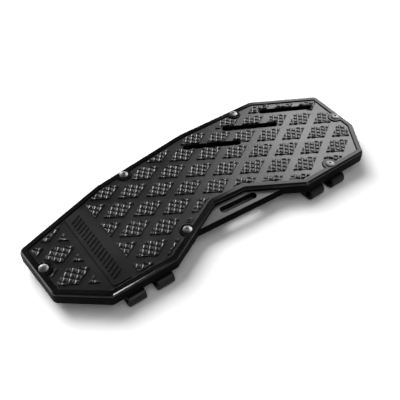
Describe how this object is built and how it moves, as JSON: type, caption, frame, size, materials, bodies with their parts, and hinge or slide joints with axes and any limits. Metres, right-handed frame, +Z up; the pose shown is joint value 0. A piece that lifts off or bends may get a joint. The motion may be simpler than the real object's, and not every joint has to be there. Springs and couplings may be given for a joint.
{
  "type": "motorcycle floorboard",
  "caption": "Long angled foot deck with a studded rubber tread in a screwed trim frame, hung on hinge lugs under its inner edge; carries a rider's foot on a motorcycle or scooter.",
  "frame": {"origin": "on the hinge axis, midway between the two lugs of the front hinge bracket", "axes": "+X along the hinge axis towards the other hinge bracket, +Y outwards across the deck, +Z up through the tread"},
  "size_m": [0.4084, 0.1561, 0.0312],
  "materials": {
    "base_black": "satin black coat on a casting",
    "frame_black": "gloss black",
    "tread_rubber": "moulded black rubber with a soft sheen",
    "hinge_black": "satin coat, a little browner than the base",
    "screw_steel": "plain steel"
  },
  "bodies": {
    "root": {"base_plate": "base_black", "trim_frame": "frame_black", "tread_pad": "tread_rubber", "front_hinge_bracket": "hinge_black", "rear_hinge_bracket": "hinge_black", "deck_screws": "screw_steel"}
  },
  "joints": []
}
